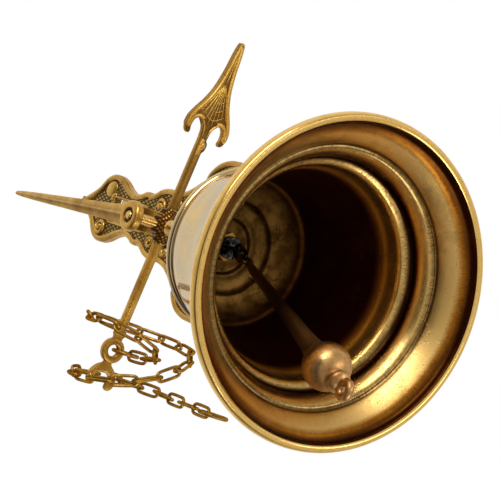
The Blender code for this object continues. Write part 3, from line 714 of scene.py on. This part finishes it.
def wall_plate(ground, cast):
    """The sunken ground with its window and screw holes cut through. Only its front is hatched."""
    work = bmesh.new()
    slab(work, list(reversed(plate_outline())), 0.0, PLATE_GROUND, plate_place())
    for face in work.faces:
        face.material_index = int(face.calc_center_median().y > -0.9 * PLATE_GROUND)
    plate = add_piece("plate_ground", work, [ground, cast], "root", ["wall_plate"])
    cutter = bmesh.new()
    slab(cutter, window_corners(), -CUT_REACH, CUT_REACH, plate_place())
    for height in SCREW_HEIGHTS:
        turned(cutter, [(0.0, CUT_REACH), (SCREW_HOLE, CUT_REACH), (SCREW_HOLE, -CUT_REACH),
                        (0.0, -CUT_REACH)], 24,
               plate_place() @ Matrix.Translation((0, height - PLATE_MIDDLE_Z, 0)))
    bmesh.ops.recalc_face_normals(cutter, faces=cutter.faces)
    mesh = bpy.data.meshes.new("plate_cutter")
    cutter.to_mesh(mesh)
    cutter.free()
    tool = bpy.data.objects.new("plate_cutter", mesh)
    bpy.context.scene.collection.objects.link(tool)
    tool.hide_render = True
    cut = plate.modifiers.new("holes", "BOOLEAN")
    cut.operation, cut.object, cut.solver = "DIFFERENCE", tool, "EXACT"
    plate_relief(cast)


def plate_relief(cast):
    """Border, scrolls, bosses, rosette and window frame, raised over the ground."""
    work = bmesh.new()
    place = plate_place(PLATE_GROUND)
    rise = PLATE_THICK - PLATE_GROUND
    relief(work, plate_outline(0.0015), 0.0015, rise, place, closed=True, sides=10)
    edge = window_corners(0.0006, 0.0008)
    window = [a.lerp(b, t / 8) for a, b in zip(edge, edge[1:] + edge[:1]) for t in range(8)]
    relief(work, window, 0.0007, rise * 0.7, place, closed=True)
    for sign in (1, -1):
        lobe = sign * 0.1050
        dome(work, (0.0098, lobe), (0.0042, 0.0050), rise * 1.15, place, turn=sign * 0.5)
        dome(work, (0.0064, lobe - sign * 0.0042), (0.0018, 0.0026), rise * 0.9, place, turn=sign * 0.9)
        relief(work, spiral((-0.0098, lobe), 0.0050, 0.0008, 40 * sign, 1.6 * sign), 0.0011, rise, place)
        dome(work, (-0.0098, lobe), (0.0012, 0.0012), rise * 1.1, place, 16, 5)
    for path in four_ways(spiral((0.0094, 0.0560), 0.0050, 0.0007, 110, 1.5)):
        relief(work, path, 0.0011, rise, place)
    for path in four_ways(spiral((0.0118, 0.0400), 0.0052, 0.0007, -60, -1.4)):
        relief(work, path, 0.0011, rise, place)
    for path in two_ways(spiral((0.0268, 0.0096), 0.0052, 0.0008, 200, -1.7)):
        relief(work, path, 0.0011, rise, place)
    for path in two_ways(spiral((0.0268, -0.0096), 0.0052, 0.0008, 160, 1.7)):
        relief(work, path, 0.0011, rise, place)
    for path in two_ways(arc((0.0215, 0.0), 0.0158, -62, 62, 30)):
        relief(work, path, 0.0009, rise * 0.85, place)
    for sx in (1, -1):
        for sy in (1, -1):
            dome(work, (sx * 0.0094, sy * 0.0560), (0.0013, 0.0013), rise * 1.1, place, 16, 5)
            dome(work, (sx * 0.0118, sy * 0.0400), (0.0014, 0.0014), rise * 1.1, place, 16, 5)
            dome(work, (sx * 0.0268, sy * 0.0096), (0.0018, 0.0018), rise * 1.2, place, 18, 5)
    for i in range(8):
        a = math.radians(22.5 + 45.0 * i)
        dome(work, (0.0078 * math.cos(a), 0.0078 * math.sin(a)), (0.0046, 0.0019), rise * 0.9, place,
             20, 5, turn=a)
    dome(work, (0, 0), (0.0030, 0.0030), rise * 1.2, place)
    relief(work, arc((0, 0), 0.0142, 0, 360, 60)[:-1], 0.0007, rise * 0.7, place, closed=True)
    # The relief is painted darker brown where it meets the sunken ground: patina and painted shade in the
    # crease
    add_piece("plate_relief", work, [cast], "root",
              patina_and_shade_at=lambda co: max(0.0, min(1.0, (PLATE_GROUND + 0.0006 + co.y) / 0.0007)))


# Arm and finial ---------------------------------------------------------------------------------

def bracket_arm(cast):
    """The CAD arm with softened edges, and ornament on its underside."""
    dress("bracket_arm", cast)
    work = bmesh.new()
    under = Matrix.Translation((0, 0, 0.0107)) @ Matrix.Rotation(math.radians(180.0), 4, "X")
    for sx in (1, -1):
        edge = [Vector((sx * 0.0041, 0.0100 + 0.004 * i)) for i in range(14)]
        relief(work, edge, 0.0006, 0.0005, under)
    for middle, reach in ((0.0230, 0.0100), (0.0510, 0.0140), (0.0900, 0.0110)):
        dome(work, (0, middle), (0.0027, reach), 0.0011, under, 28, 6)
    add_piece("arm_ornament", work, [cast], "root", patina_and_shade_at=lambda co: 0.0)


def leaf_finial(cast):
    """Bearing disc with a rim, and a long blade with a sharp midrib on both faces."""
    work = bmesh.new()
    half = DISC_HALF
    profile = [(BEARING_RADIUS, half - 0.0008), (BEARING_RADIUS + 0.0003, half - 0.0004),
               (BEARING_RADIUS + 0.0008, half - 0.0001)]
    profile += [(DISC_RADIUS - 0.0016 + 0.0016 * math.sin(math.radians(a)),
                 half - 0.0016 + 0.0016 * math.cos(math.radians(a))) for a in range(0, 91, 15)]
    profile += [(r, -h) for r, h in reversed(profile)]
    turned(work, profile, 72, Matrix.Translation((0, DISC_Y, 0)) @ Matrix.Rotation(math.pi / 2, 4, "X"))
    turn = Matrix.Translation((0, DISC_Y, 0)) @ Matrix.Rotation(LEAF_LEAN, 4, "Y").inverted()
    stations = smooth_line([(0.0050, 0.0053, 0.0018), (0.0085, 0.0050, 0.0020), (0.0125, 0.0044, 0.0020),
                            (0.0180, 0.0039, 0.0020), (0.0300, 0.0036, 0.0020), (0.0500, 0.0030, 0.0019),
                            (0.0700, 0.0024, 0.0017), (0.0860, 0.0019, 0.0015), (0.0980, 0.0014, 0.0011),
                            (0.1035, 0.0009, 0.0007), (0.1050, 0.0003, 0.0003)], 5)
    rings = []
    for height, width, thick in stations:
        right = [(1.0, 0.05), (0.94, 0.28), (0.70, 0.40), (0.30, 0.52), (0.16, 0.66), (0.0, 1.0)]
        front = right + [(-x, y) for x, y in reversed(right[:-1])]
        section = [(x, -y) for x, y in front] + [(-x, y) for x, y in front]
        rings.append([turn @ Vector((x * width, y * thick, height)) for x, y in section])
    skin(work, rings)
    add_piece("leaf_blade", work, [cast], "root", ["leaf_finial"], sharp=24.0,
              patina_and_shade_at=leaf_painted_shade)


def leaf_painted_shade(co):
    """Painted shade round the pin and beside the midrib, and a little painted shade over the blade's lower
    half.
    """
    if math.hypot(co.x, co.z) < DISC_RADIUS + 0.0002:
        return 1.0 if math.hypot(co.x, co.z) < BEARING_RADIUS + 0.0005 else 0.0
    off = co.x * math.cos(LEAF_LEAN) + co.z * math.sin(LEAF_LEAN)
    share = off / (0.0050 - 0.04 * co.z)
    if 0.10 < abs(share) < 0.36:
        return 0.55 if share < 0 else 0.30
    return 0.22 if share < 0 else 0.0


# Lever ------------------------------------------------------------------------------------------

def lever_place(z=0.0, under=False):
    """The lever's own frame: x along it from the hub, z up from its middle, or down if under."""
    place = Matrix.Translation((0, PIN_Y, 0)) @ Matrix.Rotation(LEVER_YAW, 4, "Z")
    if under:
        place = place @ Matrix.Rotation(math.pi, 4, "X")
    return place @ Matrix.Translation((0, 0, z))


def arrow_half(bud=True):
    """Half the arrow's outline, from the tip along one side to the hub, with or without its bud."""
    tip = smooth_line([(0.0898, 0.0), (0.0893, 0.0011), (0.0840, 0.0020), (0.0760, 0.0027),
                       (0.0670, 0.0043), (0.0600, 0.0069), (0.0545, 0.0099),
                       (0.0505, 0.0116)], 6)
    barb = smooth_line([(0.0505, 0.0116), (0.0470, 0.0119), (0.0438, 0.0108), (0.0428, 0.0092),
                        (0.0440, 0.0083), (0.0470, 0.0088), (0.0500, 0.0080), (0.0513, 0.0058),
                        (0.0500, 0.0036), (0.0465, 0.0024)], 5)
    swell = smooth_line([(0.0465, 0.0024), (0.0430, 0.0021), (0.0418, 0.0030),
                         (0.0400, 0.0033), (0.0382, 0.0029), (0.0368, 0.0020)], 4)
    if not bud:
        swell = [Vector((0.0465, 0.0024)), Vector((0.0430, 0.0021))]
    return tip + barb[1:] + swell[1:] + [Vector((ARM_START, 0.0021))]


def along_bar(start, step, count):
    return [Vector((start + step * i, 0.0)) for i in range(count)]


def arrow_arm(cast):
    """Bar and arrow finial: a raised border, and a web of ribs and cross lines on both faces."""
    work = bmesh.new()
    budded, plain = arrow_half(), arrow_half(bud=False)
    outline = budded + flip_path(reversed(plain[1:]))
    for under in (False, True):
        slab(work, counter_clockwise(outline, under), -0.0002, BAR_HALF - 0.0006, lever_place(under=under),
             edge=0.00025)
    border = [p for p in inward(plain, 0.0010) if p.x > 0.0455 and (p.x > 0.0513 or p.y > 0.0085)]
    for under in (False, True):
        place = lever_place(BAR_HALF - 0.0007, under)
        rim = border[::-1] + [Vector((0.0888, 0.0))] + flip_path(border)
        relief(work, rim, 0.0011, 0.00068, place, ends=0.8)
        for sign in (1, -1):
            neck = smooth_line([(0.0440, 0.0012), (0.0480, 0.0020), (0.0506, 0.0038),
                                (0.0520, 0.0060), (0.0508, 0.0084)], 5)
            relief(work, [Vector((p.x, sign * p.y)) for p in neck], 0.0006, 0.0006, place)
            for reach, spread in ((0.0535, 0.0078), (0.0530, 0.0054), (0.0512, 0.0032), (0.0490, 0.0012)):
                rib = [WEB_START.lerp(Vector((reach, sign * spread)), t / 8) for t in range(9)]
                relief(work, rib, 0.00032, 0.00042, place)
        for share in (0.45, 0.65, 0.85):
            line = [WEB_START.lerp(Vector((0.0490 + 0.0006 * abs(k) ** 1.6, 0.0020 * k)), share)
                    for k in (-3.9, -2.7, -1.6, -0.6, 0.6, 1.6, 2.7, 3.9)]
            relief(work, line, 0.00028, 0.00036, place)
        relief(work, along_bar(WEB_START.x, 0.001, 15), 0.0005, 0.0005, place)
        relief(work, along_bar(ARM_START + 0.0004, 0.001, 35), 0.0013, 0.00068, place, ends=0.9)
        dome(work, (0.0400, -0.0009 if under else 0.0009), (0.0021, 0.0019), 0.00068, place, 18, 5)
    add_piece("arrow", work, [cast], "yoke", ["arrow_arm"], sharp=32.0,
              patina_and_shade_at=lever_patina_and_shade)


def inward(half, width):
    """The half outline moved in by the width, without its ends."""
    moved = []
    for a, p, b in zip(half, half[1:], half[2:]):
        along = (b - a).normalized()
        moved.append(Vector((p.x + along.y * -width, p.y + along.x * width)))
    return moved


def lever_patina_and_shade(co):
    """Patina and painted shade between the raised lines, on the sunken ground, and the bar painted darker
    brown.
    """
    depth = BAR_HALF - abs(co.z)
    if co.x < 0.0350:
        if depth > 0.0009:
            return 0.0
        return 0.60 if co.x > 0.0 else 0.30
    return 0.9 if 0.00045 < depth < 0.00075 else 0.0


def eye_arm(cast):
    """Bar, collar, chain eye and a split fishtail with outward curls."""
    work = bmesh.new()
    bar = [Vector((-ARM_START, 0.0020)), Vector((-0.0505, 0.0019)), Vector((-0.0512, 0.0027)),
           Vector((-0.0530, 0.0029)), Vector((-0.0543, 0.0021)), Vector((-0.0560, 0.0020))]
    outline = bar + flip_path(reversed(bar))
    tail_half = smooth_line([(-0.0655, 0.0016), (-0.0672, 0.0022), (-0.0690, 0.0046),
                             (-0.0722, 0.0068), (-0.0762, 0.0072), (-0.0785, 0.0052),
                             (-0.0776, 0.0034), (-0.0752, 0.0036), (-0.0742, 0.0044),
                             (-0.0722, 0.0034), (-0.0712, 0.0014), (-0.0709, 0.0)], 5)
    tail = tail_half + flip_path(reversed(tail_half[:-1]))
    for under in (False, True):
        place = lever_place(under=under)
        for shape in (outline, tail):
            slab(work, counter_clockwise(shape, under), -0.0002, BAR_HALF - 0.0003, place, edge=0.0004)
        top = lever_place(BAR_HALF - 0.0005, under)
        relief(work, along_bar(-ARM_START - 0.001, -0.001, 41), 0.0014, 0.0005, top, ends=0.9)
        for sign in (1, -1):
            curl = [(-0.0690, 0.0030), (-0.0715, 0.0050), (-0.0748, 0.0057), (-0.0768, 0.0050),
                    (-0.0765, 0.0043)]
            relief(work, smooth_line([(x, sign * y) for x, y in curl], 5), 0.0008, 0.0005, top)
        relief(work, [Vector((-0.0526, y / 10000)) for y in range(-26, 27, 4)], 0.0010, 0.0005, top)
    rim = [(0.0028, 0.0011), (0.0031, 0.0015), (0.0036, BAR_HALF), (0.0048, BAR_HALF), (0.0055, 0.0014),
           (0.0058, 0.0009)]
    turned(work, rim + [(r, -z) for r, z in reversed(rim)], 56,
           lever_place() @ Matrix.Translation((EYE_X, 0, 0)))
    add_piece("chain_eye_arm", work, [cast], "yoke", ["eye_arm"], sharp=32.0,
              patina_and_shade_at=lambda co: 0.0)


def counter_clockwise(shape, flipped=False):
    """Orders an outline so that its solid's edge rounds inwards."""
    if flipped:
        shape = flip_path(shape)
    area = sum(a.x * b.y - b.x * a.y for a, b in zip(shape, shape[1:] + shape[:1]))
    return shape if area > 0 else list(reversed(shape))


# Bell and stem ----------------------------------------------------------------------------------

def round_corner(profile, steps=4):
    """Eases a turned profile with a light spline."""
    return [(p.x, p.y) for p in smooth_line(profile, steps)]


def bell(outside, inside, lip_metal):
    """The bell's wall, as (radius, height over the mouth) down the outside and up the inside."""
    shoulder = [(0.0036, 0.0980), (0.0130, 0.0980), (0.0140, 0.0972), (0.0200, 0.0966), (0.0265, 0.0944),
                (0.0318, 0.0906), (0.0350, 0.0860), (0.0362, 0.0838)]
    first = [(0.0363, 0.0834), (0.0369, 0.0830), (0.0372, 0.0824), (0.0372, 0.0812), (0.0368, 0.0804),
             (0.0363, 0.0800)]
    waist = [(0.0364, 0.0790), (0.0378, 0.0740), (0.0393, 0.0660), (0.0411, 0.0570), (0.0434, 0.0488)]
    second = [(0.0437, 0.0482), (0.0444, 0.0478), (0.0449, 0.0468), (0.0449, 0.0461), (0.0444, 0.0456),
              (0.0447, 0.0452), (0.0453, 0.0448), (0.0455, 0.0440), (0.0452, 0.0430), (0.0449, 0.0426)]
    flare = [(0.0462, 0.0396), (0.0500, 0.0315), (0.0552, 0.0225), (0.0606, 0.0150), (0.0652, 0.0098),
             (0.0676, 0.0078)]
    lip_out = [(0.0686, 0.0070), (0.0698, 0.0070), (0.0710, 0.0065), (0.0719, 0.0054), (0.0725, 0.0038),
               (0.0725, 0.0020), (0.0721, 0.0008), (0.0713, 0.0001)]
    lip_face = [(0.0703, 0.0000), (0.0696, 0.0002)]
    face = [(0.0691, 0.0006), (0.0687, 0.0011)]
    channel = [(0.0683, 0.0018), (0.0680, 0.0028), (0.0674, 0.0038), (0.0664, 0.0045), (0.0650, 0.0052)]
    band = [(0.0640, 0.0060), (0.0622, 0.0078), (0.0602, 0.0100), (0.0586, 0.0120), (0.0576, 0.0135),
            (0.0572, 0.0141)]
    first_ridge = [(0.0568, 0.0145), (0.0560, 0.0143), (0.0550, 0.0147), (0.0539, 0.0158),
                   (0.0527, 0.0175), (0.0518, 0.0192), (0.0513, 0.0204)]
    cove = [(0.0511, 0.0214), (0.0508, 0.0226), (0.0501, 0.0238), (0.0492, 0.0245)]
    second_ridge = [(0.0484, 0.0248), (0.0473, 0.0256), (0.0463, 0.0270), (0.0456, 0.0288),
                    (0.0452, 0.0306), (0.0448, 0.0328), (0.0438, 0.0350)]
    deep = [(0.0428, 0.0390), (0.0418, 0.0440), (0.0408, 0.0480), (0.0386, 0.0560), (0.0366, 0.0660),
            (0.0350, 0.0740), (0.0342, 0.0790)]
    crown = [(0.0339, 0.0806), (0.0334, 0.0816), (0.0326, 0.0822), (0.0318, 0.0830), (0.0306, 0.0852),
             (0.0280, 0.0878), (0.0246, 0.0896), (0.0226, 0.0900), (0.0218, 0.0902), (0.0212, 0.0908),
             (0.0206, 0.0920), (0.0192, 0.0930), (0.0160, 0.0936), (0.0138, 0.0934), (0.0130, 0.0935),
             (0.0124, 0.0940), (0.0119, 0.0947), (0.0112, 0.0950), (0.0080, 0.0950), (0.0036, 0.0950)]
    out, within, lip = 0, 1, 2
    stretches = ((round_corner(shoulder), out), (first, out), (round_corner(waist), out), (second, out),
                 (round_corner(flare), out), (round_corner(lip_out, 3), lip), (lip_face, lip),
                 (face, within), (round_corner(channel, 3), within), (round_corner(band), within),
                 (round_corner(first_ridge, 3), within), (round_corner(cove, 3), within),
                 (round_corner(second_ridge, 3), within), (round_corner(deep), within),
                 (round_corner(crown, 3), within))
    profile, materials = [], []
    for points, metal in stretches:
        profile += points
        materials += [metal] * len(points)
    work = bmesh.new()
    turned(work, profile, 240, Matrix.Translation(MOUTH), materials)
    add_piece("bell", work, [outside, inside, lip_metal], "yoke", ["bell_body"], sharp=28.0)


def crown_stem(metal):
    """Turned stem with three beads, necks between them and a spreading foot."""
    foot = MOUTH.z + BELL_HEIGHT + GAP
    low = foot - GAP - CROWN_THICK - STEM_BELOW_CROWN
    top = -HUB_HALF - GAP
    profile = [(0.0, top), (0.0036, top), (0.0042, top - 0.0007), (0.0042, top - 0.0026),
               (0.0031, -0.0108), (0.0030, -0.0122)]
    for middle, radius, thick in ((-0.0160, 0.0058, 0.0060), (-0.0245, 0.0068, 0.0070),
                                  (-0.0330, 0.0058, 0.0060)):
        profile += [(radius - thick / 2 + thick / 2 * math.cos(math.radians(a)),
                     middle + thick / 2 * math.sin(math.radians(a))) for a in range(66, -67, -11)]
        profile += [(0.0031, middle - thick / 2 - 0.0006), (0.0031, middle - thick / 2 - 0.0010)]
    profile += [(0.0036, -0.0385), (0.0048, -0.0408), (0.0072, -0.0428), (0.0095, foot + 0.0034),
                (0.0106, foot + 0.0024), (0.0108, foot + 0.0016), (0.0108, foot), (STEM_RADIUS, foot),
                (STEM_RADIUS, low), (0.0, low)]
    work = bmesh.new()
    turned(work, profile, 72, Matrix.Translation((0, PIN_Y, 0)))
    add_piece("stem", work, [metal], "yoke", ["crown_stem"], sharp=40.0)


# Clapper ----------------------------------------------------------------------------------------

def clapper(metal):
    """Eye, tapering rod, ball, neck rings and tail eye, leaning as the CAD clapper does."""
    lean = (Matrix.Translation((0, PIN_Y, SHACKLE_Z)) @ Matrix.Rotation(CLAPPER_LEAN, 4, "Y")
            @ Matrix.Translation((0, 0, -SHACKLE_Z)))
    eye_z = SHACKLE_LOW_Z + SHACKLE_WIRE + CLAPPER_EYE_WIRE + GAP - CLAPPER_EYE_RADIUS
    rod_top = eye_z - 0.0025
    ball_z, ball = BALL_Z, BALL_RADIUS
    profile = [(0.0, rod_top + 0.0002), (0.0012, rod_top - 0.0002), (0.0017, rod_top - 0.0012),
               (0.0021, rod_top - 0.010), (0.0030, rod_top - 0.040), (0.0038, ball_z + ball + 0.013),
               (0.0044, ball_z + ball + 0.006), (0.0050, ball_z + ball + 0.0022),
               (0.0053, ball_z + ball + 0.0005)]
    profile += [(ball * math.cos(math.radians(a)), ball_z + ball * math.sin(math.radians(a)))
                for a in range(58, -63, -4)]
    neck = ball_z - ball
    profile += [(0.0046, neck + 0.0006), (0.0049, neck - 0.0002), (0.0053, neck - 0.0012),
                (0.0052, neck - 0.0021), (0.0046, neck - 0.0030), (0.0036, neck - 0.0036),
                (0.0030, neck - 0.0042), (0.0, neck - 0.0046)]
    work = bmesh.new()
    turned(work, profile, 64, lean)
    across = lean.to_3x3()
    torus(work, lean @ Vector((0, 0, eye_z)), CLAPPER_EYE_RADIUS, CLAPPER_EYE_WIRE,
          across @ Vector((1, 0, 0)))
    torus(work, lean @ Vector((0, 0, neck - 0.0078)), 0.0033, 0.0019, across @ Vector((0, 1, 0)), 48, 18)
    add_piece("clapper_forging", work, [metal], "clapper", ["clapper"], sharp=45.0)


# Assembly ---------------------------------------------------------------------------------------

def build():
    """Every metal, then every piece."""
    cast = worn_brass("cast_brass", GOLD, OLD_GOLD, patina_and_shade=True, polish=0.20, rough=0.44, grain=0.00005)
    turned_metal = worn_brass("turned_brass", PALE_GOLD, GOLD, polish=0.15, rough=0.32)
    chain_metal = worn_brass("chain_brass", (0.58, 0.34, 0.07), (0.36, 0.18, 0.028), polish=0.30,
                             rough=0.46, mottle=220.0)
    # painted dark reflection along the chain wire's edges
    chain_metal.node_tree.nodes["Principled BSDF"].inputs["Specular Tint"].default_value = PAINTED_DARK_EDGE_TINT
    lip_metal = worn_brass("lip_brass", LIP_GOLD, GOLD, spread=0.64, polish=0.20, rough=0.36,
                           mottle=110.0)
    ground = hatched_brass("hatched_ground", (0.70, 0.47, 0.14), (0.13, 0.082, 0.024), pitch=0.0020,
                           slant=29.0, axis=1)
    # The hub's hatched brass is a darker copy of the ground's: painted shade on the hub
    hub_painted_shade_metal = hatched_brass("hatched_hub_painted_shade", (0.44, 0.21, 0.040), (0.07, 0.026, 0.005), pitch=0.0014,
                              slant=45.0, axis=2)
    steel = dark_steel()

    wall_plate(ground, cast)
    bracket_arm(cast)
    leaf_finial(cast)
    for name in ("wall_screw_1", "wall_screw_2", "pivot_pin", "pin_washer"):
        dress(name, turned_metal, bevel=0.0002)
    dress("hub", hub_painted_shade_metal, bevel=0.0005)
    arrow_arm(cast)
    eye_arm(cast)
    crown_stem(turned_metal)
    bell(bell_outside_brass(), bell_inside_brass(), lip_metal)
    dress("crown_nut", cast, bevel=0.0003)
    dress("clapper_staple", steel, bevel=0.0002)
    dress("clapper_shackle", steel, wire=0.00014)
    clapper(forged_copper())
    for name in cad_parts:
        if name.startswith("chain_") or name in ("connecting_ring", "pull_ring"):
            dress(name, chain_metal, wire=0.00015)


make_camera()
make_lights()
make_floor()
build()
bpy.context.scene.view_settings.view_transform = "Standard"
